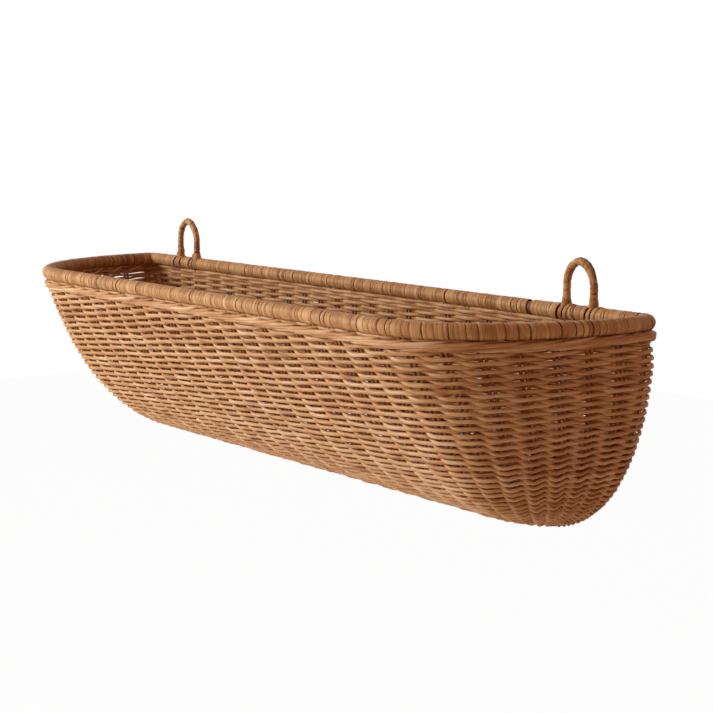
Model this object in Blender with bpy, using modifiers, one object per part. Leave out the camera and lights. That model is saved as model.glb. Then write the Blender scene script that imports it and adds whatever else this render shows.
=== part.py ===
"""Wall basket of woven rattan: a long trough with a flat back, a wrapped rim and two loops to hang it by.

The wall plane is Y = 0, the front faces -Y and X runs along the basket. The origin lies midway between
the loops, on the wall, at the height where the two wall hooks bear under the loops' tops.
Sizes are in metres.
"""

import math

import bmesh
import bpy
import numpy as np
from mathutils import Vector

# Overall sizes of the basket
LENGTH = 0.800
DEPTH = 0.2134
BODY_HEIGHT = 0.1995

# Gap that touching pieces keep
CLEARANCE = 0.0003

# Rods that the weave is made of
STAKE_DIAMETER = 0.0040
STRAND_DIAMETER = 0.0034
ROW_PITCH = 0.00372
SLOT_DEPTH = 0.0021
BORDER_DIAMETER = 0.0050

# Rim: two split hoops with the stakes between them, wrapped in cane
RIM_DIAMETER = 0.0144
RIM_WRAP = 0.0009
STAKE_RISE = 0.0030

# Plan of the rim's centre line
FRONT_CORNER_LENGTH = 0.129
BACK_CORNER_RADIUS = 0.0085

# How the trough closes towards its bottom
BOTTOM_CORNER_LENGTH = 0.021
BOTTOM_WIDTH = 0.024
BOTTOM_EDGE_RADIUS = 0.012
END_DROP = 0.100
BELLY_POWER = 0.39
END_POWER = 2.08

# Stakes: those that run from the front under the bottom and up the back, those fanned over each end,
# and the short ones at each end of the back
THROUGH_STAKES = 21
END_STAKES = 8
SIDE_STAKES = 3
BACK_STAKE_SETBACK = 0.01557

# Hanging loops
LOOP_HEIGHT = 0.0435
LOOP_ARCH_HEIGHT = 0.0210
LOOP_CORE_DIAMETER = 0.0040
LOOP_DIAMETER = 0.0064
LOOP_TAIL = 0.060
LOOP_SPAN = 0.033
LOOP_AT_STAKE = 11

# Fineness of the round forms
WALL_BANDS = 9
LEVEL_POWER = 1.5
BACK_CORNER_STEPS = 3
SHARP_ANGLE = 50
ARCH_STEPS = 10
WRAP_STEPS = 10
HOOP_STEPS = 7
CURVE_SAMPLES = 200
ROW_SAMPLE_POWER = 3

# Sizes that follow
RIM_RADIUS = RIM_DIAMETER / 2
STAKE_RADIUS = STAKE_DIAMETER / 2
BORDER_RADIUS = BORDER_DIAMETER / 2
HALF_LENGTH = LENGTH / 2 - RIM_RADIUS
WALL_DEPTH = DEPTH - RIM_DIAMETER
SKIN_NEAR = STAKE_RADIUS + CLEARANCE
SKIN_FAR = SKIN_NEAR + STRAND_DIAMETER
LOOP_RISE = RIM_RADIUS + LOOP_HEIGHT - LOOP_DIAMETER / 2
RIM_Z = LOOP_DIAMETER / 2 - LOOP_RISE
RIM_Y = -RIM_RADIUS
LAST_SHARE = 1 - (BOTTOM_WIDTH / WALL_DEPTH) ** (1 / BELLY_POWER)
WALL_DROP = (BODY_HEIGHT - RIM_DIAMETER - SKIN_FAR) / LAST_SHARE
HALF_THROUGH = (THROUGH_STAKES - 1) // 2
HALF_BACK = HALF_THROUGH + SIDE_STAKES
BACK_STAKE_PITCH = (HALF_LENGTH - BACK_CORNER_RADIUS - BACK_STAKE_SETBACK) / HALF_BACK

COLLECTION = "wall_basket"


# Scene, materials and small helpers


def clear_scene():
    for obj in list(bpy.data.objects):
        bpy.data.objects.remove(obj, do_unlink=True)


def rattan(name, color, roughness):
    """A Principled material; rattan is never metallic."""
    material = bpy.data.materials.new(name)
    material.use_nodes = True
    shader = material.node_tree.nodes["Principled BSDF"]
    shader.inputs["Base Color"].default_value = (*color, 1)
    shader.inputs["Roughness"].default_value = roughness
    shader.inputs["Metallic"].default_value = 0
    return material


def add_object(name, data, material, collection):
    obj = bpy.data.objects.new(name, data)
    data.materials.append(material)
    collection.objects.link(obj)
    return obj


def add_mesh(name, shape, material, collection):
    """An object from a bmesh, shaded smooth but for its sharp edges."""
    bmesh.ops.recalc_face_normals(shape, faces=shape.faces)
    mesh = bpy.data.meshes.new(name)
    shape.to_mesh(mesh)
    shape.free()
    mesh.shade_smooth()
    mesh.set_sharp_from_angle(angle=math.radians(SHARP_ANGLE))
    return add_object(name, mesh, material, collection)


def add_tube(name, points, radius, material, collection, resolution=1, cyclic=False, caps=True):
    """A rod along straight runs between points."""
    curve = bpy.data.curves.new(name, "CURVE")
    curve.dimensions = "3D"
    curve.twist_mode = "Z_UP" if cyclic else "MINIMUM"
    curve.bevel_depth = radius
    curve.bevel_resolution = resolution
    curve.use_fill_caps = caps
    spline = curve.splines.new("POLY")
    spline.points.add(len(points) - 1)
    for place, point in zip(spline.points, points):
        place.co = (*point, 1)
    spline.use_cyclic_u = cyclic
    return add_object(name, curve, material, collection)


# Form of the wall: its middle surface, halfway through the stakes


def drop_depth(share):
    """Distance from the flat back to the front of the middle surface."""
    return WALL_DEPTH * (1 - max(share, 0)) ** BELLY_POWER


def half_length(share):
    """Half of the back panel's length, whose bottom corners are quarter ellipses."""
    return HALF_LENGTH - END_DROP * (1 - math.sqrt(1 - max(share, 0) ** END_POWER))


def back_inset(share):
    """How far the back has rounded forward near the bottom edge."""
    height = WALL_DROP * (1 - share)
    fall = max(1 - height / BOTTOM_EDGE_RADIUS, 0)
    return BOTTOM_EDGE_RADIUS * (1 - math.sqrt(1 - fall**2))


def corner_length(share):
    """Length along X of the rounded front corner."""
    shrink = 1 - drop_depth(share) / WALL_DEPTH
    return FRONT_CORNER_LENGTH + (BOTTOM_CORNER_LENGTH - FRONT_CORNER_LENGTH) * shrink


def corner_radius(share):
    """Radius of the back corner, which the shallow bottom limits."""
    shallow = drop_depth(share) - back_inset(share)
    return min(BACK_CORNER_RADIUS, shallow / 3)


def wall_point(column, share):
    """A point of the middle surface. share runs from 0 under the rim to 1 at the bottom.

    A column is a region and a position in it: front and back take a share of the straight stretch,
    end takes a side and an angle round the front corner, and corner a side and an angle round the back one.
    """
    region, *position = column
    half = half_length(share)
    back = RIM_Y - back_inset(share)
    front = RIM_Y - drop_depth(share)
    reach = corner_length(share)
    radius = corner_radius(share)
    z = RIM_Z - RIM_RADIUS - share * WALL_DROP
    if region == "front":
        return Vector((position[0] * (half - reach), front, z))
    if region == "back":
        return Vector((position[0] * (half - radius), back, z))
    side, angle = position
    if region == "end":
        rise = back - radius - front
        x = half - reach + reach * math.sin(angle)
        return Vector((side * x, front + rise * (1 - math.cos(angle)), z))
    x = half - radius + radius * math.cos(angle)
    return Vector((side * x, back - radius + radius * math.sin(angle), z))


def share_below_rim(distance):
    return distance / WALL_DROP


def end_angle(index):
    """Angle of an end stake round the front corner, at equal steps along the rim from the front."""
    angles = np.linspace(0, math.pi / 2, CURVE_SAMPLES)
    rise = WALL_DEPTH - BACK_CORNER_RADIUS
    pace = np.hypot(FRONT_CORNER_LENGTH * np.cos(angles), rise * np.sin(angles))
    run = np.concatenate(([0], np.cumsum(pace[1:] + pace[:-1])))
    return float(np.interp(run[-1] * index / END_STAKES, run, angles))


def level_shares(top):
    """Depth shares of the wall's rings, from a top share to the bottom strip."""
    steps = (1 - (1 - band / WALL_BANDS) ** LEVEL_POWER for band in range(WALL_BANDS + 1))
    return [top + (LAST_SHARE - top) * step for step in steps]


def ring_columns():
    """Columns once round the basket, from the right end of the front stretch.

    The front's left end comes last, so its straight stretch closes the ring.
    """
    end = [end_angle(index) for index in range(1, END_STAKES + 1)]
    quarter = math.radians(90)
    corner = [quarter * step / BACK_CORNER_STEPS for step in range(1, BACK_CORNER_STEPS + 1)]
    right = [("front", 1)] + [("end", 1, angle) for angle in end]
    right += [("corner", 1, angle) for angle in corner]
    left = [(region, -1, *rest[1:]) if rest[1:] else (region, -1) for region, *rest in reversed(right)]
    return right + left


def woven_columns():
    """The ring's columns with every stake of the front among them."""
    front = [("front", index / HALF_THROUGH) for index in range(1 - HALF_THROUGH, HALF_THROUGH)]
    return ring_columns() + front


def stake_numbers():
    """The stake at each of the woven columns, counted from the middle of the front, or None on the back."""
    right = list(range(HALF_THROUGH, HALF_THROUGH + END_STAKES + 1)) + [None] * BACK_CORNER_STEPS
    left = [None if number is None else -number for number in reversed(right)]
    return right + left + list(range(1 - HALF_THROUGH, HALF_THROUGH))


def row_shares(top):
    """Depth shares of the weave's rows, one row pitch apart down the front, from a top share."""
    samples = top + (LAST_SHARE - top) * np.linspace(0, 1, CURVE_SAMPLES) ** ROW_SAMPLE_POWER
    samples = top + LAST_SHARE - samples[::-1]
    depths = WALL_DEPTH * (1 - samples) ** BELLY_POWER
    run = np.concatenate(([0], np.cumsum(np.hypot(np.diff(depths), np.diff(samples) * WALL_DROP))))
    rows = int(run[-1] // ROW_PITCH)
    return [float(np.interp(run[-1] * row / rows, run, samples)) for row in range(rows + 1)]


# Weave: a pouch outside the stakes and a pouch inside them


def sheet(columns, levels):
    """The middle surface from a top ring down, as points and faces, with its bottom closed."""
    count = len(columns)
    points = [wall_point(column, share) for share in levels for column in columns]
    faces = []
    for level in range(len(levels) - 1):
        upper = level * count
        lower = upper + count
        for here in range(count):
            after = (here + 1) % count
            faces.append((upper + here, upper + after, lower + after, lower + here))
    last = (len(levels) - 1) * count
    faces.append(tuple(range(last, last + count)))
    return points, faces


def offset_directions(points, faces):
    """For each point the step that moves all its faces outward by one unit."""
    touching = [[] for _ in points]
    for face in faces:
        ring = [points[index] for index in face]
        normal = Vector((0, 0, 0))
        for here, after in zip(ring, ring[1:] + ring[:1]):
            normal += here.cross(after)
        normal.normalize()
        middle = sum(ring, Vector((0, 0, 0))) / len(ring)
        inside = Vector((0, RIM_Y - WALL_DEPTH / 3, RIM_Z - WALL_DROP / 2))
        if normal.dot(middle - inside) < 0:
            normal.negate()
        for index in face:
            touching[index].append(normal)
    units = (np.linalg.lstsq(np.array(rows), np.ones(len(rows)), rcond=0.01)[0] for rows in touching)
    return [Vector(unit) for unit in units]


def slot_depth(row, last_row, stake):
    """How far the woven face lies in at a stake: deep where the row there passes behind the stake."""
    if stake is None or row in (0, last_row) or (row + stake) % 2:
        return 0
    return SLOT_DEPTH


def add_pouch(name, top_share, near, far, material, collection, woven):
    """A skin of the wall between two distances from its middle surface. woven gives its far face the rows."""
    columns = woven_columns() if woven else ring_columns()
    stakes = stake_numbers()
    count = len(columns)
    shell = bmesh.new()
    rims = []
    for distance, rows in ((near, False), (far, woven)):
        levels = row_shares(top_share) if rows else level_shares(top_share)
        points, faces = sheet(columns, levels)
        steps = offset_directions(points, faces)
        verts = []
        for index, (point, step) in enumerate(zip(points, steps)):
            row, here = divmod(index, count)
            sink = slot_depth(row, len(levels) - 1, stakes[here]) if rows else 0
            verts.append(shell.verts.new(point + step * (distance - sink)))
        for face in faces:
            shell.faces.new([verts[index] for index in face])
        rims.append(verts[:count])
    for here in range(count):
        after = (here + 1) % count
        shell.faces.new((rims[0][here], rims[0][after], rims[1][after], rims[1][here]))
    return add_mesh(name, shell, material, collection)


def surface_normal(column, share, reach=1e-4):
    """Outward direction of the wall at a column, by small steps along and down the surface."""
    columns = ring_columns()
    here = columns.index(column)
    along = wall_point(columns[(here + 1) % len(columns)], share) - wall_point(columns[here - 1], share)
    down = wall_point(column, share + reach) - wall_point(column, share)
    return down.cross(along).normalized()


def add_border(name, below_rim, material, collection):
    """A thick strand round the outside, just under the rim."""
    share = share_below_rim(below_rim)
    distance = SKIN_NEAR + BORDER_RADIUS
    path = [wall_point(column, share) + surface_normal(column, share) * distance for column in ring_columns()]
    return add_tube(name, path, BORDER_RADIUS, material, collection, resolution=2, cyclic=True)


# Stakes


def rim_rise():
    return RIM_Z + STAKE_RISE


def head_points(column):
    """The stretch of a stake between the hoops, straight up from the wall's top."""
    foot = wall_point(column, 0)
    return [Vector((foot.x, foot.y, rim_rise())), foot]


def back_column(index):
    """Column of a stake of the back, counted from the middle."""
    return "back", index * BACK_STAKE_PITCH / (HALF_LENGTH - BACK_CORNER_RADIUS)


def add_through_stake(name, index, material, collection):
    """A rod from the rim down the front, under the bottom and up the back."""
    front = ("front", index / HALF_THROUGH)
    back = back_column(index)
    levels = level_shares(0)[1:]
    points = head_points(front)
    points += [wall_point(front, share) for share in levels]
    points += [wall_point(back, share) for share in reversed(levels)]
    points += reversed(head_points(back))
    return add_tube(name, points, STAKE_RADIUS, material, collection)


def add_short_stake(name, column, material, collection):
    """A rod from the rim down to the turn of the bottom."""
    points = head_points(column)
    points += [wall_point(column, share) for share in level_shares(0)[1:-1]]
    return add_tube(name, points, STAKE_RADIUS, material, collection)


# Rim


def rim_path(first, last):
    """Points of the rim's centre line between two places, given as indexes in ring_columns."""
    columns = ring_columns()
    path = [wall_point(columns[index % len(columns)], 0) for index in range(first, last + 1)]
    return [Vector((point.x, point.y, RIM_Z)) for point in path]


def arc_points(radius, start, stop, steps):
    angles = (start + (stop - start) * step / steps for step in range(steps + 1))
    return [(radius * math.cos(angle), radius * math.sin(angle)) for angle in angles]


def hoop_profile(side):
    """Section of a split hoop: a round pole with its flat towards the stakes."""
    radius = RIM_RADIUS - RIM_WRAP - CLEARANCE
    spread = math.acos(SKIN_NEAR / radius)
    return [(side * x, side * y) for x, y in arc_points(radius, -spread, spread, HOOP_STEPS)]


def wrap_profile():
    """Section of the cane wrapping, open below where the stakes come up."""
    mouth = math.asin((SKIN_NEAR + CLEARANCE) / (RIM_RADIUS - RIM_WRAP))
    start = math.radians(-90) + mouth
    stop = math.radians(270) - mouth
    outer = arc_points(RIM_RADIUS, start, stop, WRAP_STEPS)
    inner = arc_points(RIM_RADIUS - RIM_WRAP, stop, start, WRAP_STEPS)
    return outer + inner


def add_swept(name, path, profile, material, collection, cyclic=False):
    """A profile moved along a level path: its x points outward from the basket and its y up."""
    shape = bmesh.new()
    count = len(path)
    rings = []
    for here in range(count):
        before = path[here - 1] if cyclic or here else path[here]
        after = path[(here + 1) % count] if cyclic or here < count - 1 else path[here]
        arrive = (path[here] - before).normalized()
        leave = (after - path[here]).normalized()
        along = (arrive + leave).normalized()
        spread = 1 / max(along.dot(leave if leave.length else arrive), 0.5)
        outward = along.cross(Vector((0, 0, 1))) * spread
        rings.append([shape.verts.new(path[here] + outward * x + Vector((0, 0, y))) for x, y in profile])
    pairs = list(zip(rings, rings[1:]))
    if cyclic:
        pairs.append((rings[-1], rings[0]))
    for near, far in pairs:
        for here in range(len(profile)):
            after = (here + 1) % len(profile)
            shape.faces.new((near[here], near[after], far[after], far[here]))
    if not cyclic:
        shape.faces.new(rings[0])
        shape.faces.new(rings[-1])
    return add_mesh(name, shape, material, collection)


def leg_places():
    """X of a loop's inner and outer leg, which stand between stakes of the back."""
    middle = LOOP_AT_STAKE * BACK_STAKE_PITCH
    return middle - LOOP_SPAN / 2, middle + LOOP_SPAN / 2


def add_rim_wraps(material, collection):
    """Cane wrapping in lengths: round the front and both ends to the loops, and along the back."""
    profile = wrap_profile()
    inner, outer = leg_places()
    leg_gap = LOOP_CORE_DIAMETER / 2 + CLEARANCE
    right = rim_path(0, len(ring_columns()) // 2 - 1)
    right.append(Vector((outer + leg_gap, RIM_Y, RIM_Z)))
    left = [Vector((-point.x, point.y, point.z)) for point in reversed(right)]
    add_swept("rim_wrap_front", left + right, profile, material, collection)
    straights = {
        "rim_wrap_loop_right": (outer - leg_gap, inner + leg_gap),
        "rim_wrap_back": (inner - leg_gap, leg_gap - inner),
        "rim_wrap_loop_left": (-inner - leg_gap, leg_gap - outer),
    }
    for name, (start, stop) in straights.items():
        path = [Vector((start, RIM_Y, RIM_Z)), Vector((stop, RIM_Y, RIM_Z))]
        add_swept(name, path, profile, material, collection)


# Loops


def loop_path(side, low):
    """Centre line of a loop, from one leg's foot over the arch to the other's."""
    inner, outer = leg_places()
    half = (outer - inner) / 2
    middle = (outer + inner) / 2
    spring = RIM_Z + LOOP_RISE - LOOP_ARCH_HEIGHT
    points = [Vector((side * (middle + half), RIM_Y, low))]
    for step in range(ARCH_STEPS + 1):
        angle = math.pi * step / ARCH_STEPS
        x = side * (middle + half * math.cos(angle))
        points.append(Vector((x, RIM_Y, spring + LOOP_ARCH_HEIGHT * math.sin(angle))))
    points.append(Vector((side * (middle - half), RIM_Y, low)))
    return points


def add_loop(side_name, side, core_material, wrap_material, collection):
    """A rod bent to an arch, whose legs run down between the two faces of the weave, and its wrapping."""
    core = loop_path(side, RIM_Z - LOOP_TAIL)
    add_tube(f"loop_core_{side_name}", core, LOOP_CORE_DIAMETER / 2, core_material, collection, resolution=2)
    sleeve = loop_path(side, RIM_Z + RIM_RADIUS + CLEARANCE)
    name = f"loop_wrap_{side_name}"
    wrap = add_tube(name, sleeve, LOOP_DIAMETER / 2, wrap_material, collection, resolution=2, caps=False)
    hollow = wrap.modifiers.new("wall", "SOLIDIFY")
    hollow.thickness = (LOOP_DIAMETER - LOOP_CORE_DIAMETER) / 2 - CLEARANCE
    hollow.offset = -1
    hollow.use_even_offset = True


def build():
    clear_scene()
    collection = bpy.data.collections.new(COLLECTION)
    bpy.context.scene.collection.children.link(collection)
    weave = rattan("woven_strand", (0.50, 0.26, 0.11), 0.5)
    rod = rattan("rattan_rod", (0.42, 0.22, 0.10), 0.6)
    cane = rattan("wrapping_cane", (0.46, 0.23, 0.09), 0.4)

    first_border = CLEARANCE + BORDER_RADIUS
    second_border = first_border + BORDER_DIAMETER + CLEARANCE
    outer_top = share_below_rim(second_border + BORDER_RADIUS + CLEARANCE)
    inner_top = share_below_rim(CLEARANCE + RIM_WRAP)
    add_pouch("outer_weave", outer_top, SKIN_NEAR, SKIN_FAR, weave, collection, woven=True)
    add_pouch("inner_weave", inner_top, -SKIN_FAR, -SKIN_NEAR, weave, collection, woven=False)
    add_border("border_strand_upper", first_border, weave, collection)
    add_border("border_strand_lower", second_border, weave, collection)

    for index in range(-HALF_THROUGH, HALF_THROUGH + 1):
        add_through_stake(f"through_stake_{index + HALF_THROUGH + 1:02d}", index, rod, collection)
    for side_name, side in (("left", -1), ("right", 1)):
        for index in range(1, END_STAKES + 1):
            column = ("end", side, end_angle(index))
            add_short_stake(f"end_stake_{side_name}_{index:02d}", column, rod, collection)
        for index in range(1, SIDE_STAKES + 1):
            column = back_column(side * (HALF_THROUGH + index))
            add_short_stake(f"back_stake_{side_name}_{index}", column, rod, collection)

    count = len(ring_columns())
    hoop = rim_path(0, count - 1)
    add_swept("rim_hoop_outer", hoop, hoop_profile(1), rod, collection, cyclic=True)
    add_swept("rim_hoop_inner", hoop, hoop_profile(-1), rod, collection, cyclic=True)
    add_rim_wraps(cane, collection)
    for side_name, side in (("left", -1), ("right", 1)):
        add_loop(side_name, side, rod, cane, collection)


build()
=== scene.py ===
"""Wall basket of woven rattan: its looks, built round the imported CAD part.

The weave, the border under the rim, the stakes, the cane round the rim and the loops are each made
as the single strands they are. Sizes are in metres, in the frame of the CAD part.

A place counts stakes round the ring, from the middle of the front to the right. A share goes from 0 at
the top of the wall to LAST_SHARE at its foot.
"""

import math

import bmesh
import bpy
import numpy as np
from mathutils import Matrix, Vector


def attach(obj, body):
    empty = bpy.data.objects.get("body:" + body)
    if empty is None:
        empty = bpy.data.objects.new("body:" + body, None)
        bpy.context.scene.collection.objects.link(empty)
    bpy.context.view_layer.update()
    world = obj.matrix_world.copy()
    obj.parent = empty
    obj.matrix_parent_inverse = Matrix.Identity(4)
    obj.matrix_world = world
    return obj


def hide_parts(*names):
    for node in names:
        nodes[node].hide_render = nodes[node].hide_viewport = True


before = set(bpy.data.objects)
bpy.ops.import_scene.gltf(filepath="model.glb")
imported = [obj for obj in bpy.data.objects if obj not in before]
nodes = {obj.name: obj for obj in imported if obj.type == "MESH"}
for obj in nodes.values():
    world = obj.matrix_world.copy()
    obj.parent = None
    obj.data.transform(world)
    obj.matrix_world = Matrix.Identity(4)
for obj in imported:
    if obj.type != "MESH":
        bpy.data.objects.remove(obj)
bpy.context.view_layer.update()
rng = np.random.default_rng(20)

# Form of the basket, as in the CAD part
LENGTH = 0.800
DEPTH = 0.2134
BODY_HEIGHT = 0.1995
RIM_DIAMETER = 0.0144
FRONT_CORNER_LENGTH = 0.129
BACK_CORNER_RADIUS = 0.0085
BOTTOM_CORNER_LENGTH = 0.021
BOTTOM_WIDTH = 0.024
BOTTOM_EDGE_RADIUS = 0.012
END_DROP = 0.100
BELLY_POWER = 0.39
END_POWER = 2.08
FRONT_STAKES = 21
END_STAKES = 8
BACK_STAKES = 27
BACK_STAKE_PITCH = 0.0283638
SKIN_FAR = 0.0057
RIM_Z = -0.0443
LOOP_DISTANCE = 0.312
LOOP_SPAN = 0.033
LOOP_HEIGHT = 0.0435
LOOP_ARCH_HEIGHT = 0.0210
LOOP_DIAMETER = 0.0064

RIM_RADIUS = RIM_DIAMETER / 2
RIM_Y = -RIM_RADIUS
RIM_TOP = RIM_Z + RIM_RADIUS
HALF_LENGTH = LENGTH / 2 - RIM_RADIUS
WALL_DEPTH = DEPTH - RIM_DIAMETER
LAST_SHARE = 1 - (BOTTOM_WIDTH / WALL_DEPTH) ** (1 / BELLY_POWER)
WALL_DROP = (BODY_HEIGHT - RIM_DIAMETER - SKIN_FAR) / LAST_SHARE
WALL_TOP = RIM_Z - RIM_RADIUS
FRONT_REACH = (FRONT_STAKES - 1) / 2
END_REACH = FRONT_REACH + END_STAKES
BACK_REACH = (BACK_STAKES - 1) / 2
HALF_RING = END_REACH + 1 + BACK_REACH
RING = 2 * HALF_RING

# Steps for the wall's directions, and the width over which they turn down at the bottom
PLACE_NUDGE = 0.02
SHARE_NUDGE = 1e-4
BOTTOM_BLEND = 0.004

# Weave
ROW_PITCH = 0.00372
ROW_DRIFT = 0.00030
ROW_JITTER = 0.00016
ROW_WAVE = 0.00038
DRIFT_WAVES = 6
DRIFT_TURNS = (4, 22)
DRIFT_PHASES = (0, 6.28)
DRIFT_CHANGES = (-0.5, 0.5)
LOW_CORNER_WAVE = 4.0
STRAND_RADIUS = 0.00170
STRAND_HALF_HEIGHT = 0.00215
STRAND_LEAN = 0.0002
STRAND_OVERLAP = 0.0002
STRAND_SIZE_SPREAD = 0.03
STRAND_SIZE_WANDER = 0.04
STRAND_TONE_SPREAD = 0.05
STRAND_TONE_WANDER = 0.04
# Painted shade: how much darker a row is coloured where it lies behind a stake
RECESS_PAINTED_SHADE = 0.16
RADIUS_PER_PITCH = 0.54
HALF_HEIGHT_PER_PITCH = 0.58
FLOAT_BIAS = 0.45
BACK_BIAS_DROP = 0.50
FLOAT_STEEPNESS = 1.5
FLOAT_THINNING = 0.10
BACK_THICKENING = 0.12
BACK_FLOAT_THICKENING = 0.16
BACK_REACH_CUT = 0.3
BULGE_WANDER = 0.08
BULGE_UNDER_BORDER = 0.1
CORNER_CALM = 0.65
CORNER_CALM_REACH = 0.6
SLIT_PLACE = -16.2
SLIT_REACH = 1.5
SLIT_TOP = 0.005
SLIT_LOW = 0.05
SLIT_THINNING = 0.30
END_BULGE = 0.0016
LOW_END_BULGE = 0.0026
END_BULGE_REACH = 1.3
LOW_CORNER_TOP = 0.07
LOW_CORNER_FADE = 0.09
LOW_CORNER_STAKES = 3
LOW_CORNER_REACH = 2.4
STEPS_PER_STAKE = 8
STRAND_SIDES = 8

# Grain coordinates: a radius across a strand, a random shift from strand to strand, and a turn of cane
GRAIN_RADIUS = 0.002
GRAIN_SHIFT = 100
GRAIN_RADII_PER_TURN = 6.28

# Border under the rim
BORDER_RODS = 4
BORDER_RADIUS = 0.0020
BORDER_LOW = 0.0086
BORDER_HIGH = 0.0016
BORDER_TURN = 0.07
BORDER_DIP_REACH = 0.40
BORDER_STAND_OFF = 0.0007
BORDER_END_LIFT = 0.0016
BORDER_LIFT_REACH = 2.5
BORDER_JITTER = 0.0003
BORDER_FLATNESS = 0.95
BORDER_TONE_SPREAD = 0.09
BORDER_TONE_WANDER = 0.07
BACK_DIP_CUT = 0.8
BAND_HEIGHT = 0.0101

# Stakes
STAKE_RADIUS = 0.0016
STAKE_SPREAD = 0.0023
STAKE_HEAD = 0.003
STAKE_STEPS = 40
STAKE_TONE_SPREAD = 0.06
SHORT_STAKE_END = 0.97

# Cane
RIM_CANE_WIDTH = 0.0040
LOOP_CANE_WIDTH = 0.0056
CANE_WIDTHS = (0.7, 0.9, 1.1, 1.4)
CANE_GAP_CHANCE = 0.11
CANE_GAPS = (0.0003, 0.0014)
CANE_EDGES = (0.3, 0.6, 1.0, 2.0)
CANE_EDGE_CHANCES = (0.2, 0.35, 0.3, 0.15)
# Painted shade: how much darker cane is coloured at the edges of a turn, in the grooves between turns
CANE_EDGE_PAINTED_SHADE = 0.07
CANE_TONE_SPREAD = 0.07
CANE_SKEW_SPREAD = 0.07
CANE_SWELL_SPREAD = 0.0001
CANE_OVERLAP = 1.02
TURN_OVERLAP = 0.02
TURN_ADVANCE = 0.9
RIM_CROWN = 0.0003
LOOP_CROWN = 0.00045
LEG_GAP = (-0.0075, -0.0015)
MISSING_TURN = (0.2500, 0.2565)
HOLE_DEPTH = 0.01
LASHING_WIDTH = 0.0042
LASHING_START = 40
LASHING_TURN = 255
LASHING_PLACE_SPREAD = 0.0004
COLLAR_WIDTH = 0.0032
COLLAR_RADIUS = 0.0049
COLLAR_CROWN = 0.0006
COLLAR_TURN = 2.4 * math.pi
LOOP_FOOT_SWELL = 0.0016
LOOP_FOOT_FADE = 0.0035
LOOP_CANE_THICKNESS = 0.0004
LOOP_ARCH_POWER = 1.12
LOOP_TOP_LEAN = 0.0012

# How the left loop differs from the right one
LEFT_LOOP_SHIFT = 0.0015
LOOP_HALF_SPAN_CHANGE = 0.0007
LOOP_HEIGHT_CHANGE = 0.0018


# Wall


def ellipse_run():
    """Share of the way round a rounded end, against the angle of its ellipse."""
    angles = np.linspace(0, math.pi / 2, 200)
    rise = WALL_DEPTH - BACK_CORNER_RADIUS
    pace = np.hypot(FRONT_CORNER_LENGTH * np.cos(angles), rise * np.sin(angles))
    run = np.concatenate(([0], np.cumsum(pace[1:] + pace[:-1])))
    return run / run[-1], angles


RUN_SHARES, RUN_ANGLES = ellipse_run()


def wall_at_share(place, share):
    """Middle surface of the wall."""
    place = (np.asarray(place, float) + HALF_RING) % RING - HALF_RING
    side = np.where(place < 0, -1.0, 1.0)
    q = np.abs(place)
    share = np.clip(np.asarray(share, float), 0, LAST_SHARE)
    depth = WALL_DEPTH * (1 - share) ** BELLY_POWER
    half = HALF_LENGTH - END_DROP * (1 - np.sqrt(1 - share**END_POWER))
    fall = np.clip(1 - WALL_DROP * (1 - share) / BOTTOM_EDGE_RADIUS, 0, 1)
    inset = BOTTOM_EDGE_RADIUS * (1 - np.sqrt(1 - fall**2))
    reach = FRONT_CORNER_LENGTH + (BOTTOM_CORNER_LENGTH - FRONT_CORNER_LENGTH) * (1 - depth / WALL_DEPTH)
    radius = np.minimum(BACK_CORNER_RADIUS, (depth - inset) / 3)
    front = RIM_Y - depth
    back = RIM_Y - inset
    z = WALL_TOP - share * WALL_DROP

    angle = np.interp(np.clip((q - FRONT_REACH) / END_STAKES, 0, 1), RUN_SHARES, RUN_ANGLES)
    rise = back - radius - front
    end_x = half - reach + reach * np.sin(angle)
    end_y = front + rise * (1 - np.cos(angle))

    straight = HALF_LENGTH - BACK_CORNER_RADIUS
    last_share = BACK_REACH * BACK_STAKE_PITCH / straight
    arc = BACK_CORNER_RADIUS * math.pi / 2
    rest = straight * (1 - last_share)
    turn = np.clip((q - END_REACH) * (arc + rest) / arc, 0, 1) * math.pi / 2
    corner_x = half - radius + radius * np.cos(turn)
    corner_y = back - radius + radius * np.sin(turn)

    past = np.clip(((q - END_REACH) * (arc + rest) - arc) / rest, 0, 1)
    spaced = (HALF_RING - q) / BACK_REACH * last_share
    back_share = np.where(q > END_REACH + 1, spaced, 1 - past * (1 - last_share))
    back_x = back_share * (half - radius)

    front_x = q / FRONT_REACH * (half - reach)
    x = np.where(q <= FRONT_REACH, front_x, np.where(q <= END_REACH, end_x, corner_x))
    y = np.where(q <= FRONT_REACH, front, np.where(q <= END_REACH, end_y, corner_y))
    on_back = turn >= math.pi / 2
    x = np.where(on_back, back_x, x)
    y = np.where(on_back, back, y)
    return np.stack(np.broadcast_arrays(side * x, y, z), -1)


def front_profile():
    """Shares down the middle of the front, and the distance down the wall at each."""
    steps = np.linspace(0, 1, 600)
    shares = LAST_SHARE * (1 - (1 - steps) ** 2)
    line = wall_at_share(0.0, shares)
    run = np.linalg.norm(np.diff(line, axis=0), axis=1)
    return shares, np.concatenate([[0], np.cumsum(run)])


SHARES, RUN = front_profile()


def share_down(distance):
    """Share at a distance down the front."""
    return np.interp(distance, RUN, SHARES)


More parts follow.
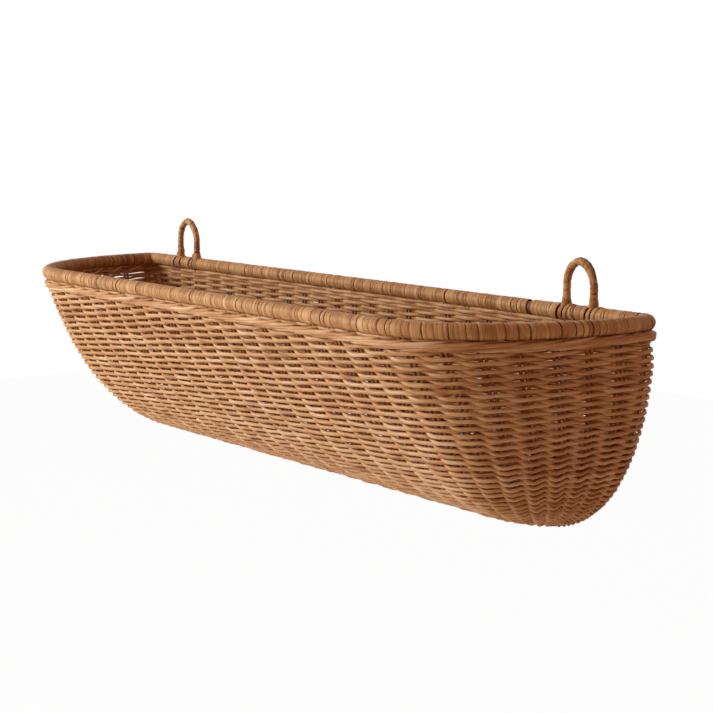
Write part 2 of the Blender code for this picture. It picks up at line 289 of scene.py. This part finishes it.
def wall(place, share, inset=0.0):
    """Points of the middle surface and outward directions. inset moves in over the bottom strip."""
    point = wall_at_share(place, share)
    ahead = wall_at_share(np.asarray(place) + PLACE_NUDGE, share)
    behind = wall_at_share(np.asarray(place) - PLACE_NUDGE, share)
    share = np.clip(np.asarray(share, float), 0, LAST_SHARE)
    low = wall_at_share(place, np.minimum(share + SHARE_NUDGE, LAST_SHARE))
    high = wall_at_share(place, np.maximum(share - SHARE_NUDGE, 0))
    normal = np.cross(low - high, ahead - behind)
    normal /= np.linalg.norm(normal, axis=-1, keepdims=True)
    inset = np.broadcast_to(np.asarray(inset, float), point.shape[:-1])
    middle = RIM_Y - BOTTOM_EDGE_RADIUS / 2 - BOTTOM_WIDTH / 2
    keep = 1 - inset / (BOTTOM_WIDTH / 2)
    point = point.copy()
    point[..., 1] = np.where(inset > 0, middle + (point[..., 1] - middle) * keep, point[..., 1])
    point[..., 0] *= 1 - inset / HALF_LENGTH
    down = np.array([0, 0, -1.0])
    blend = np.clip(inset / BOTTOM_BLEND, 0, 1)[..., None]
    normal = normal * (1 - blend) + down * blend
    normal /= np.linalg.norm(normal, axis=-1, keepdims=True)
    return point, normal


def ring_places():
    """Places of a strand's sections, all the way round."""
    return np.arange(int(RING) * STEPS_PER_STAKE) / STEPS_PER_STAKE - HALF_RING


def back_blend(place):
    """0 on the front and ends, 1 on the back."""
    return np.clip(np.abs(place) - END_REACH, 0, 1)


def hill(place, middle, reach):
    """A smooth hill of height 1 round a place."""
    return np.exp(-(((place - middle) / reach) ** 2))


def end_bulge(place, share):
    """How far the weave stands out beside both back corners, most of all below the rim."""
    low = np.clip((share - 0.05) / 0.1, 0, 1) * np.clip((1.1 - share) / 0.3, 0, 1)
    return (END_BULGE + LOW_END_BULGE * low) * hill(np.abs(place), END_REACH + 0.2, END_BULGE_REACH)


def low_corner(place, distance):
    """1 low down on both rounded ends, where the rows rise and fall most."""
    low = np.clip((distance - LOW_CORNER_TOP) / LOW_CORNER_FADE, 0, 1)
    return hill(np.abs(place), END_REACH - LOW_CORNER_STAKES, LOW_CORNER_REACH) * low


def wander(place, waves, size, turns=(3, 19)):
    """A smooth random offset round the ring, that closes on itself."""
    total = np.zeros_like(place)
    for _ in range(waves):
        number = rng.integers(*turns)
        total += np.sin(2 * math.pi * number * place / RING + rng.uniform(0, 2 * math.pi))
    return total * size / math.sqrt(waves)


# Strands


def run_along(path):
    """Distance along a path, at each of its points."""
    return np.concatenate([[0], np.cumsum(np.linalg.norm(np.diff(path, axis=0), axis=1))])


class Strands:
    """Many strands gathered into one mesh, with a tone and a grain coordinate on each point."""

    def __init__(self):
        self.points = []
        self.faces = []
        self.tones = []
        self.grains = []
        self.count = 0

    def gather(self, points, quads, tones, grain):
        """Takes in one strand's points, and its quads counted from its own first point."""
        self.points.append(points.reshape(-1, 3))
        self.faces.append(quads + self.count)
        self.tones.append(tones.reshape(-1))
        self.grains.append(grain.reshape(-1, 3))
        self.count += len(self.points[-1])

    def add(self, path, normal, thick, high, tone, closed=False):
        """A tube with an elliptic section: thick along the normal and high across it."""
        path = np.asarray(path, float)
        number = len(path)
        if closed:
            along = np.roll(path, -1, 0) - np.roll(path, 1, 0)
        else:
            along = np.gradient(path, axis=0)
        along /= np.linalg.norm(along, axis=1, keepdims=True)
        normal = normal - along * np.sum(normal * along, 1, keepdims=True)
        normal /= np.linalg.norm(normal, axis=1, keepdims=True)
        across = np.cross(along, normal)
        angle = np.arange(STRAND_SIDES) * 2 * math.pi / STRAND_SIDES
        thick = np.broadcast_to(thick, (number,))[:, None, None]
        high = np.broadcast_to(high, (number,))[:, None, None]
        ring = path[:, None, :]
        ring = ring + np.cos(angle)[None, :, None] * normal[:, None, :] * thick
        ring = ring + np.sin(angle)[None, :, None] * across[:, None, :] * high
        grain = np.empty((number, STRAND_SIDES, 3))
        grain[..., 0] = run_along(path)[:, None]
        grain[..., 1] = np.cos(angle)[None, :] * GRAIN_RADIUS + rng.uniform(0, GRAIN_SHIFT)
        grain[..., 2] = np.sin(angle)[None, :] * GRAIN_RADIUS
        here = np.arange(number if closed else number - 1)[:, None] * STRAND_SIDES
        after = (here + STRAND_SIDES) % (number * STRAND_SIDES)
        side = np.arange(STRAND_SIDES)[None, :]
        next_side = (side + 1) % STRAND_SIDES
        quads = np.stack([here + side, after + side, after + next_side, here + next_side], -1).reshape(-1, 4)
        tones = np.broadcast_to(np.reshape(tone, (-1, 1)), (number, STRAND_SIDES))
        self.gather(ring, quads, tones, grain)

    def add_ribbon(self, points, grain_along, grain_across, tone, edge_painted_shade):
        """A strip of quads through rows of points, one row for each section."""
        steps, count = points.shape[:2]
        grain = np.zeros((steps, count, 3))
        grain[..., 0] = grain_along[:, None]
        grain[..., 1] = grain_across[None, :] + rng.uniform(0, GRAIN_SHIFT)
        low = np.arange(steps - 1)[:, None] * count + np.arange(count - 1)[None, :]
        quads = np.stack([low, low + 1, low + count + 1, low + count], -1).reshape(-1, 4)
        # Painted shade in the grooves between turns: the strip is coloured darker at its edges and a little
        # lighter in its middle
        tones = tone + CROWN_SHARES * edge_painted_shade + np.zeros((steps, 1))
        self.gather(points, quads, tones, grain)

    def piece(self, name, material):
        """The mesh as a piece of the scene, riding on the basket."""
        mesh = bpy.data.meshes.new(name)
        points = np.concatenate(self.points)
        faces = np.concatenate(self.faces)
        mesh.from_pydata(points.tolist(), [], faces.tolist())
        tone = mesh.attributes.new("tone", "FLOAT", "POINT")
        tone.data.foreach_set("value", np.concatenate(self.tones).astype(np.float32))
        grain = mesh.attributes.new("grain", "FLOAT_VECTOR", "POINT")
        grain.data.foreach_set("vector", np.concatenate(self.grains).astype(np.float32).reshape(-1))
        mesh.shade_smooth()
        mesh.materials.append(material)
        piece = bpy.data.objects.new(name, mesh)
        bpy.context.scene.collection.objects.link(piece)
        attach(piece, "root")
        return piece


# Materials

# How far noise coordinates are spread along and across a strand, and in space
STREAK_SPREAD = (60, 900, 900)
PATCH_SPREAD = (45, 8, 8)
STREAK_SPREAD_IN_SPACE = (400, 400, 400)
PATCH_SPREAD_IN_SPACE = (40, 40, 40)
RAMP_BELOW = 0.32
RAMP_ABOVE = 0.34
RATTAN_SPECULAR = 0.23
BUMP_STRENGTH = 0.6
BUMP_DEPTH = 0.0004


def shader_of(material):
    material.use_nodes = True
    return material.node_tree, material.node_tree.nodes["Principled BSDF"]


def add_noise(tree, place, spread, detail):
    """Noise over coordinates that are spread by a factor on each axis."""
    mapping = tree.nodes.new("ShaderNodeMapping")
    mapping.inputs["Scale"].default_value = spread
    tree.links.new(place, mapping.inputs["Vector"])
    noise = tree.nodes.new("ShaderNodeTexNoise")
    noise.inputs["Scale"].default_value = 1
    noise.inputs["Detail"].default_value = detail
    tree.links.new(mapping.outputs["Vector"], noise.inputs["Vector"])
    return noise.outputs["Fac"]


def add_share(tree, value, factor):
    """A node that adds factor times a value to its third input."""
    step = tree.nodes.new("ShaderNodeMath")
    step.operation = "MULTIPLY_ADD"
    step.inputs[1].default_value = factor
    tree.links.new(value, step.inputs[0])
    return step


def add_ramp(tree, value, middle_at, dark, middle, pale):
    """A colour that goes from dark to pale, with its middle tone at one value."""
    ramp = tree.nodes.new("ShaderNodeValToRGB")
    ends = ramp.color_ramp.elements
    ends[0].position = middle_at - RAMP_BELOW
    ends[0].color = (*dark, 1)
    ends[1].position = middle_at + RAMP_ABOVE
    ends[1].color = (*pale, 1)
    ramp.color_ramp.elements.new(middle_at).color = (*middle, 1)
    tree.links.new(value, ramp.inputs["Fac"])
    return ramp.outputs["Color"]


def rattan(name, dark, middle, pale, roughness, from_attributes=True, streaks=0.55, patches=0.42):
    """Rattan: a tone from strand to strand, fine grain along it and darker patches."""
    material = bpy.data.materials.new(name)
    tree, shader = shader_of(material)
    if from_attributes:
        coordinate = tree.nodes.new("ShaderNodeAttribute")
        coordinate.attribute_name = "grain"
        place = coordinate.outputs["Vector"]
    else:
        place = tree.nodes.new("ShaderNodeTexCoord").outputs["Object"]
    streak = add_noise(tree, place, STREAK_SPREAD if from_attributes else STREAK_SPREAD_IN_SPACE, 3)
    patch = add_noise(tree, place, PATCH_SPREAD if from_attributes else PATCH_SPREAD_IN_SPACE, 2)
    with_streak = add_share(tree, streak, streaks)
    with_patch = add_share(tree, patch, patches)
    tree.links.new(with_patch.outputs["Value"], with_streak.inputs[2])
    if from_attributes:
        tone = tree.nodes.new("ShaderNodeAttribute")
        tone.attribute_name = "tone"
        tree.links.new(tone.outputs["Fac"], with_patch.inputs[2])
    else:
        with_patch.inputs[2].default_value = 0
    color = add_ramp(tree, with_streak.outputs["Value"], (streaks + patches) / 2, dark, middle, pale)
    tree.links.new(color, shader.inputs["Base Color"])
    shader.inputs["Roughness"].default_value = roughness
    shader.inputs["Specular IOR Level"].default_value = RATTAN_SPECULAR
    bump = tree.nodes.new("ShaderNodeBump")
    bump.inputs["Strength"].default_value = BUMP_STRENGTH
    bump.inputs["Distance"].default_value = BUMP_DEPTH
    tree.links.new(streak, bump.inputs["Height"])
    tree.links.new(bump.outputs["Normal"], shader.inputs["Normal"])
    return material


strand_look = rattan("strand", (0.24, 0.062, 0.008), (0.54, 0.285, 0.118), (0.775, 0.555, 0.355), 0.46)
stake_look = rattan("stake", (0.14, 0.045, 0.012), (0.34, 0.15, 0.053), (0.54, 0.29, 0.12), 0.60)
cane_look = rattan(
    "cane", (0.19, 0.058, 0.011), (0.475, 0.233, 0.081), (0.74, 0.49, 0.23), 0.48, streaks=0.85
)


# Weave: plain weave, each row in front of one stake and behind the next


def row_table():
    """Distances down the front of each row, the last ones in over the bottom strip."""
    last = RUN[-1] + BOTTOM_WIDTH / 2 - ROW_PITCH / 2
    count = int((last - STRAND_RADIUS) / ROW_PITCH)
    return STRAND_RADIUS + np.arange(count + 1) * ROW_PITCH


def row_drift(place, row, waves):
    """How far a row drifts up or down, changing slowly from row to row."""
    return sum(
        math.sin(phase + row * turn) * np.sin(2 * math.pi * number * place / RING + phase * 2 + row * turn)
        for number, phase, turn in waves
    )


def row_swing(place, row, on_back):
    """From -1 behind a stake to 1 in front of one. The front has long floats and short dips."""
    lean_out = FLOAT_BIAS - BACK_BIAS_DROP * on_back
    swing = np.tanh(FLOAT_STEEPNESS * (np.cos(math.pi * (place - row)) + lean_out))
    return swing * (1 - CORNER_CALM * hill(np.abs(place), END_REACH + CORNER_CALM_REACH, CORNER_CALM_REACH))


def row_pitch(place, level, inset):
    """Distance from the row above, at each place."""
    above = wall_at_share(place, share_down(level - ROW_PITCH))
    below = wall_at_share(place, share_down(level))
    pitch = np.where(inset > 0, ROW_PITCH, np.linalg.norm(above - below, axis=1))
    return np.where(level < ROW_PITCH, ROW_PITCH, pitch)


def row_section(place, distance, pitch, swing, on_back):
    """Half thickness and half height of a strand, which leaves slits near the top of the left end."""
    thick = np.minimum(STRAND_RADIUS, pitch * RADIUS_PER_PITCH)
    high = np.minimum(STRAND_HALF_HEIGHT, pitch * HALF_HEIGHT_PER_PITCH)
    high = high * (1 + on_back * (BACK_THICKENING + BACK_FLOAT_THICKENING * swing))
    high = high * (1 - FLOAT_THINNING * (1 - on_back) * np.maximum(swing, 0) ** 2)
    if SLIT_TOP < distance < SLIT_LOW:
        high = high * (1 - SLIT_THINNING * hill(place, SLIT_PLACE, SLIT_REACH))
    return thick, high


def make_weave():
    strands = Strands()
    place = ring_places()
    on_back = back_blend(place)
    waves = [
        (rng.integers(*DRIFT_TURNS), rng.uniform(*DRIFT_PHASES), rng.uniform(*DRIFT_CHANGES))
        for _ in range(DRIFT_WAVES)
    ]
    for row, distance in enumerate(row_table()):
        drift = row_drift(place, row, waves)
        level = distance + drift * ROW_DRIFT + wander(place, 3, ROW_JITTER, (8, 30))
        share = share_down(level)
        inset = np.maximum(level - RUN[-1], 0)
        point, normal = wall(place, share, inset)
        swing = row_swing(place, row, on_back)
        pitch = row_pitch(place, level, inset)
        thick, high = row_section(place, distance, pitch, swing, on_back)
        reach = (STAKE_RADIUS + thick - STRAND_OVERLAP) * (1 - BACK_REACH_CUT * on_back * (swing > 0))
        bulge = 1 + wander(place, 4, BULGE_WANDER, (20, 60))
        if distance < BAND_HEIGHT:
            bulge = np.where(swing > 0, BULGE_UNDER_BORDER, bulge)
        out = swing * reach * bulge + end_bulge(place, share)
        path = point + normal * out[:, None]
        path[:, 2] += STRAND_LEAN * (1 - on_back) * np.sin(math.pi * (place - row))
        wave = ROW_WAVE * (1 + LOW_CORNER_WAVE * low_corner(place, distance)) * (1 - on_back)
        path[:, 2] += wave * np.sin(2 * math.pi * place)
        size = (1 + rng.normal(0, STRAND_SIZE_SPREAD)) * (1 + wander(place, 3, STRAND_SIZE_WANDER))
        tone = rng.normal(0, STRAND_TONE_SPREAD) + wander(place, 3, STRAND_TONE_WANDER)
        # Painted shade: a row is coloured darker in the recess behind a stake, on the face that is seen
        # (outside of the front and ends, inside of the back)
        behind_stake_share = np.clip(np.where(on_back > 0.5, swing, -swing), 0, 1)
        tone = tone - RECESS_PAINTED_SHADE * behind_stake_share
        strands.add(path, normal, thick * size, high * size, tone, closed=True)
    piece = strands.piece("weave", strand_look)
    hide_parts("outer_weave", "inner_weave")


make_weave()


# Border: rods waled round the outside just under the rim, each over three stakes and behind one.
# Along the back they stay outside.


def border_height(phase):
    """Distance down the wall of a border rod, which climbs and then goes back down behind a stake."""
    climb = np.clip((phase - BORDER_TURN) / (1 - 2 * BORDER_TURN), 0, 1)
    height = BORDER_LOW + (BORDER_HIGH - BORDER_LOW) * climb
    late = np.clip((phase - (1 - BORDER_TURN)) / BORDER_TURN, 0, 1)
    early = np.clip((BORDER_TURN - phase) / BORDER_TURN, 0, 1)
    fall = (BORDER_LOW - BORDER_HIGH) * (late + early) / 2
    return np.where(phase > 0.5, height + fall, height - fall)


def make_border():
    strands = Strands()
    place = ring_places()
    for rod in range(BORDER_RODS):
        phase = ((place + rod + 0.5) / BORDER_RODS) % 1.0
        from_dip = ((phase + 0.5) % 1.0 - 0.5) * BORDER_RODS
        behind = hill(from_dip, 0, BORDER_DIP_REACH) * (1 - BACK_DIP_CUT * back_blend(place))
        height = border_height(phase) + wander(place, 4, BORDER_JITTER)
        point, normal = wall(place, share_down(height))
        out = (STAKE_RADIUS + BORDER_RADIUS) * (1 - 2 * behind) + BORDER_STAND_OFF + end_bulge(place, 0)
        path = point + normal * out[:, None]
        path[:, 2] += BORDER_END_LIFT * hill(np.abs(place), END_REACH, BORDER_LIFT_REACH)
        tone = rng.normal(0, BORDER_TONE_SPREAD) + wander(place, 4, BORDER_TONE_WANDER)
        strands.add(path, normal, BORDER_RADIUS, BORDER_RADIUS * BORDER_FLATNESS, tone, closed=True)
    piece = strands.piece("border", strand_look)
    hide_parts("border_strand_upper", "border_strand_lower")


make_border()


# Stakes: each is a pair of thin rods side by side


def stake_stretch(place, offset, last):
    """Points down the wall at a place, shifted sideways along the ring by offset metres."""
    shares = LAST_SHARE * (1 - (1 - np.linspace(0, last, STAKE_STEPS)) ** 1.6)
    point, normal = wall(np.full(STAKE_STEPS, float(place)), shares)
    side, _ = wall(np.full(STAKE_STEPS, place + 0.05), shares)
    along = side - point
    along /= np.linalg.norm(along, axis=1, keepdims=True)
    path = point + along * offset
    head = path[:1].copy()
    head[0, 2] = RIM_Z + STAKE_HEAD
    return np.concatenate([head, path]), np.concatenate([normal[:1], normal])


def through_stake(index, offset):
    """One rod down the front, under the bottom and up the back."""
    down, down_normal = stake_stretch(index, offset, 1)
    up, up_normal = stake_stretch(HALF_RING - index, -offset, 1)
    return np.concatenate([down, up[::-1]]), np.concatenate([down_normal, up_normal[::-1]])


def make_stakes():
    strands = Strands()
    front = (FRONT_STAKES - 1) // 2
    ends = [side * (front + index) for side in (-1, 1) for index in range(1, END_STAKES + 1)]
    back = [side * (END_REACH + 1 + index) for side in (-1, 1) for index in (0, 1, 2)]
    for index in range(-front, front + 1):
        for offset in (-STAKE_SPREAD, STAKE_SPREAD):
            path, normal = through_stake(index, offset)
            strands.add(path, normal, STAKE_RADIUS, STAKE_RADIUS, rng.normal(0, STAKE_TONE_SPREAD))
    for place in ends + back:
        for offset in (-STAKE_SPREAD, STAKE_SPREAD):
            path, normal = stake_stretch(place, offset, SHORT_STAKE_END)
            strands.add(path, normal, STAKE_RADIUS, STAKE_RADIUS, rng.normal(0, STAKE_TONE_SPREAD))
    piece = strands.piece("stakes", stake_look)
    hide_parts(*[name for name in nodes if "stake" in name])


make_stakes()


# Cane wound round the rim and the loops

# Across the cane: where the rows of points lie, and how they fall off towards the edges, in shape and in the
# painted shade at the edges
SECTION_SHARES = np.array([-0.5, -0.38, -0.16, 0.16, 0.38, 0.5])
CROWN_SHARES = np.array([-1.0, -0.16, 0.1, 0.1, -0.16, -1.0])


def along_path(at, run, values):
    """Values given along a path, read at any distances."""
    flat = at.reshape(-1)
    return np.stack([np.interp(flat, run, values[:, k]) for k in range(3)], 1).reshape(*at.shape, 3)


def wind(strands, path, up, radius, width, steps, crown, holes=()):
    """Flat cane wound round a path in many turns. up is the direction that a turn starts opposite."""
    run = run_along(path)
    radius_along = np.broadcast_to(radius, run.shape)
    width_along = np.broadcast_to(width, run.shape)
    direction = np.gradient(path, axis=0)
    direction /= np.linalg.norm(direction, axis=1, keepdims=True)
    turn = np.linspace(-TURN_OVERLAP, 1 + TURN_OVERLAP, steps)
    angle = -math.pi / 2 - turn * 2 * math.pi
    at = 0.0
    while at < run[-1]:
        usual = np.interp(at, run, width_along)
        this = usual * rng.choice(CANE_WIDTHS)
        if rng.random() < CANE_GAP_CHANCE:
            at += rng.uniform(*CANE_GAPS)
        swell = rng.normal(0, CANE_SWELL_SPREAD)
        skew = rng.normal(0, CANE_SKEW_SPREAD)
        tone = rng.normal(0, CANE_TONE_SPREAD)
        edge = rng.choice(CANE_EDGES, p=CANE_EDGE_CHANCES)
        advance = (turn - 0.5) * usual * TURN_ADVANCE
        mids = at + this / 2 + advance + np.sin(turn * 2 * math.pi) * skew * usual
        sections = np.clip(mids[:, None] + SECTION_SHARES[None, :] * this * CANE_OVERLAP, 0, run[-1])
        centre = along_path(sections, run, path)
        along = along_path(sections, run, direction)
        above = up - along * np.sum(up * along, -1, keepdims=True)
        above /= np.linalg.norm(above, axis=-1, keepdims=True)
        out = np.cross(along, above)
        reach = np.interp(sections, run, radius_along) + swell + (CROWN_SHARES * crown * edge)[None, :]
        round_path = out * np.cos(angle)[:, None, None] + above * np.sin(angle)[:, None, None]
        points = centre + round_path * reach[..., None]
        at += this
        x, y, _ = centre[steps // 2, 2]
        if any(low < x < high and y > RIM_Y - HOLE_DEPTH for low, high in holes):
            continue
        # Painted shade at the edges of the turn, deeper where the turn is more crowned
        edge_painted_shade = CANE_EDGE_PAINTED_SHADE * edge * min(usual / RIM_CANE_WIDTH, 1)
        grain_along = turn * radius_along[0] * GRAIN_RADII_PER_TURN
        strands.add_ribbon(points, grain_along, SECTION_SHARES * this * 2, tone, edge_painted_shade)


def rim_path():
    """Middle line of the rim, from the middle of the back round the front to the middle of the back."""
    step = 0.1
    path = wall_at_share(np.arange(-HALF_RING, HALF_RING + step / 2, step), 0.0)
    path[:, 2] = RIM_Z
    return path


def leg_places():
    """Along x, the four feet of the loops."""
    return [side * LOOP_DISTANCE + leg * LOOP_SPAN / 2 for side in (-1, 1) for leg in (-1, 1)]


def add_lashing(strands, leg_x):
    """Cane that ties the foot of a loop's leg to the rim: strips that slant over the rim's front."""
    # Each strip's place beside the leg, high up and low down, and how far it lies over the others
    lays = (
        (0.0090, 0.0020, 0.0007),
        (0.0045, -0.0035, 0.0011),
        (-0.0050, -0.0105, 0.0006),
        (-0.0095, -0.0130, 0.0002),
    )
    turn = np.linspace(0, 1, 16)
    angle = np.radians(LASHING_START + LASHING_TURN * turn)
    for high_x, low_x, lift in lays:
        middle = leg_x + high_x + (low_x - high_x) * turn**0.8 + rng.normal(0, LASHING_PLACE_SPREAD)
        width = LASHING_WIDTH * rng.uniform(0.85, 1.15)
        reach = RIM_RADIUS + lift * np.sin(turn * math.pi) ** 0.5 + (CROWN_SHARES * RIM_CROWN)[:, None]
        x = middle[None, :] + SECTION_SHARES[:, None] * width
        y = RIM_Y + reach * np.cos(angle)
        z = RIM_Z + reach * np.sin(angle)
        points = np.stack([x, y, z], -1).transpose(1, 0, 2)
        # 0.10 is the painted shade at the edges of each strip
        strands.add_ribbon(points, turn * 0.032, SECTION_SHARES * width * 2, rng.normal(0, 0.05), 0.10)


def make_rim():
    """The cane is finer on the left of the front and wider on the right."""
    strands = Strands()
    path = rim_path()
    at_front = path[:, 1] < RIM_Y - WALL_DEPTH / 2
    width = RIM_CANE_WIDTH * (1 + at_front * np.clip(path[:, 0] / 0.6 - 0.18, -0.42, 0.25))
    holes = [(x + LEG_GAP[0], x + LEG_GAP[1]) for x in leg_places()] + [MISSING_TURN]
    wind(strands, path, np.array([0, 0, 1.0]), RIM_RADIUS - 0.0001, width, 20, RIM_CROWN, holes)
    for leg_x in leg_places():
        add_lashing(strands, leg_x)
    piece = strands.piece("rim_cane", cane_look)
    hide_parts("rim_wrap_front", "rim_wrap_back", "rim_wrap_loop_left", "rim_wrap_loop_right")


make_rim()


def loop_path(side):
    """Middle line of a loop, up the right leg and down the left one."""
    middle = side * LOOP_DISTANCE + (LEFT_LOOP_SHIFT if side < 0 else 0)
    half = LOOP_SPAN / 2 - side * LOOP_HALF_SPAN_CHANGE
    spring = RIM_TOP + LOOP_HEIGHT - LOOP_DIAMETER / 2 - LOOP_ARCH_HEIGHT - side * LOOP_HEIGHT_CHANGE
    legs = np.linspace(RIM_TOP - 0.004, spring, 12)[:-1]
    points = [(middle + half, RIM_Y, z) for z in legs]
    for angle in np.linspace(0, math.pi, 25):
        cosine, sine = math.cos(angle), math.sin(angle)
        x = middle + half * math.copysign(abs(cosine) ** LOOP_ARCH_POWER, cosine) - LOOP_TOP_LEAN * sine
        points.append((x, RIM_Y, spring + LOOP_ARCH_HEIGHT * sine**LOOP_ARCH_POWER))
    points += [(middle - half, RIM_Y, z) for z in legs[::-1]]
    return np.array(points)


def add_collar(strands, leg_x):
    """A strip of cane wound a little over once round the foot of a leg."""
    turn = np.linspace(0, 1, 15)
    angle = turn * COLLAR_TURN + rng.uniform(0, 1)
    reach = COLLAR_RADIUS + (CROWN_SHARES * COLLAR_CROWN)[:, None]
    height = 0.0030 + 0.0016 * np.sin(angle + 0.8) + 0.0020 * turn
    x = leg_x + reach * np.cos(angle)
    y = RIM_Y + reach * np.sin(angle)
    z = RIM_TOP + height[None, :] + SECTION_SHARES[:, None] * COLLAR_WIDTH
    points = np.stack([x, y, z], -1).transpose(1, 0, 2)
    # 0.10 is the painted shade at the edges of the strip
    strands.add_ribbon(points, turn * 0.03, SECTION_SHARES * COLLAR_WIDTH * 2, -0.08, 0.10)


def make_loop(side_name, side):
    """Only the left loop has collars."""
    strands = Strands()
    path = loop_path(side)
    over_rim = np.maximum(path[:, 2] - RIM_TOP, 0)
    radius = LOOP_DIAMETER / 2 + LOOP_CANE_THICKNESS + LOOP_FOOT_SWELL * np.exp(-over_rim / LOOP_FOOT_FADE)
    wind(strands, path, np.array([0, 1.0, 0]), radius, LOOP_CANE_WIDTH, 14, LOOP_CROWN)
    if side < 0:
        for leg in (-1, 1):
            add_collar(strands, side * LOOP_DISTANCE + leg * LOOP_SPAN / 2)
    piece = strands.piece(f"loop_cane_{side_name}", cane_look)
    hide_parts(f"loop_wrap_{side_name}")


make_loop("left", -1)
make_loop("right", 1)


# Rods under the cane, kept from the CAD part

# Painted shade: the rods are coloured dark so that the gaps between turns of cane look deep and shaded
painted_shade_rod = rattan("rod_under_cane_painted_shade", (0.10, 0.04, 0.015), (0.20, 0.09, 0.04), (0.30, 0.15, 0.07), 0.6, False)
for name, node in nodes.items():
    if name.startswith("rim_hoop") or name.startswith("loop_core"):
        node.data.materials.clear()
        node.data.materials.append(painted_shade_rod)


# Stage

FLOOR_PLACE = (0, -1, -1.2)
FLOOR_SIZE = 6
FLOOR_GLOW = 0.97
SOFT_COLOR = (1.0, 0.52, 0.34, 1)
SOFT_LEVEL = 0.355
LAMP_COLOR = (0.93, 1.0, 1.0)
LAMP_SIZE = 1.0
LAMP_TARGET = (0, -0.1, -0.12)
KEY_LEVEL = 2.29
LOW_KEY_LEVEL = 1.3
KEY_PLACE = (-1.85, -2.5, 1.05)
LOW_KEY_PLACE = (-1.85, -2.5, -0.05)
CAMERA_PLACE = (1.19681, -0.99383, 0.11562)
CAMERA_FORWARD = (-0.76172, 0.63021, -0.15039)
CAMERA_UP = (-0.11895, 0.09214, 0.98862)
CAMERA_LENS = 75.776


def make_floor():
    """A pale floor that takes the shadow and is nearly white to the camera."""
    shape = bmesh.new()
    bmesh.ops.create_grid(shape, x_segments=1, y_segments=1, size=FLOOR_SIZE)
    mesh = bpy.data.meshes.new("floor")
    shape.to_mesh(mesh)
    shape.free()
    floor = bpy.data.objects.new("floor", mesh)
    floor.location = FLOOR_PLACE
    bpy.context.scene.collection.objects.link(floor)
    material = bpy.data.materials.new("pale_floor")
    tree, shader = shader_of(material)
    shader.inputs["Base Color"].default_value = (0.9, 0.9, 0.9, 1)
    shader.inputs["Roughness"].default_value = 0.8
    glow = tree.nodes.new("ShaderNodeEmission")
    glow.inputs["Color"].default_value = (1, 1, 1, 1)
    glow.inputs["Strength"].default_value = 1
    rays = tree.nodes.new("ShaderNodeLightPath")
    fade = tree.nodes.new("ShaderNodeMath")
    fade.operation = "MULTIPLY"
    fade.inputs[1].default_value = FLOOR_GLOW
    mix = tree.nodes.new("ShaderNodeMixShader")
    tree.links.new(rays.outputs["Is Camera Ray"], fade.inputs[0])
    tree.links.new(fade.outputs["Value"], mix.inputs["Fac"])
    tree.links.new(shader.outputs["BSDF"], mix.inputs[1])
    tree.links.new(glow.outputs["Emission"], mix.inputs[2])
    tree.links.new(mix.outputs["Shader"], tree.nodes["Material Output"].inputs["Surface"])
    mesh.materials.append(material)


def make_world():
    """Soft warm light, with a white background for the camera and for reflections."""
    world = bpy.data.worlds.new("studio")
    world.use_nodes = True
    scene.world = world
    tree = world.node_tree
    soft = tree.nodes["Background"]
    soft.inputs["Color"].default_value = SOFT_COLOR
    soft.inputs["Strength"].default_value = SOFT_LEVEL
    white = tree.nodes.new("ShaderNodeBackground")
    white.inputs["Color"].default_value = (1, 1, 1, 1)
    white.inputs["Strength"].default_value = 1
    rays = tree.nodes.new("ShaderNodeLightPath")
    seen = tree.nodes.new("ShaderNodeMath")
    seen.operation = "MAXIMUM"
    tree.links.new(rays.outputs["Is Camera Ray"], seen.inputs[0])
    tree.links.new(rays.outputs["Is Glossy Ray"], seen.inputs[1])
    mix = tree.nodes.new("ShaderNodeMixShader")
    tree.links.new(seen.outputs["Value"], mix.inputs["Fac"])
    tree.links.new(soft.outputs["Background"], mix.inputs[1])
    tree.links.new(white.outputs["Background"], mix.inputs[2])
    tree.links.new(mix.outputs["Shader"], tree.nodes["World Output"].inputs["Surface"])


def add_lamp(name, place, strength):
    """A square lamp that shines on the basket, with its strength given as what reaches that."""
    way = Vector(place) - Vector(LAMP_TARGET)
    lamp = bpy.data.lights.new(name, "AREA")
    lamp.energy = strength * math.pi * way.length_squared
    lamp.size = LAMP_SIZE
    lamp.color = LAMP_COLOR
    holder = bpy.data.objects.new(name, lamp)
    holder.location = place
    holder.rotation_euler = way.to_track_quat("Z", "Y").to_euler()
    holder.visible_camera = False
    bpy.context.scene.collection.objects.link(holder)


def add_camera():
    """The camera of the photo, from the fit to the rim and the outline."""
    camera_data = bpy.data.cameras.new("camera")
    camera = bpy.data.objects.new("camera", camera_data)
    bpy.context.scene.collection.objects.link(camera)
    scene.camera = camera
    camera_data.sensor_width = 36
    camera_data.lens = CAMERA_LENS
    forward = Vector(CAMERA_FORWARD).normalized()
    right = forward.cross(Vector(CAMERA_UP)).normalized()
    turn = Matrix((right, right.cross(forward), -forward)).transposed()
    camera.matrix_world = Matrix.Translation(CAMERA_PLACE) @ turn.to_4x4()


scene = bpy.context.scene
scene.view_settings.view_transform = "Standard"
make_floor()
make_world()
add_lamp("key", KEY_PLACE, KEY_LEVEL)
add_lamp("low_key", LOW_KEY_PLACE, LOW_KEY_LEVEL)
add_camera()
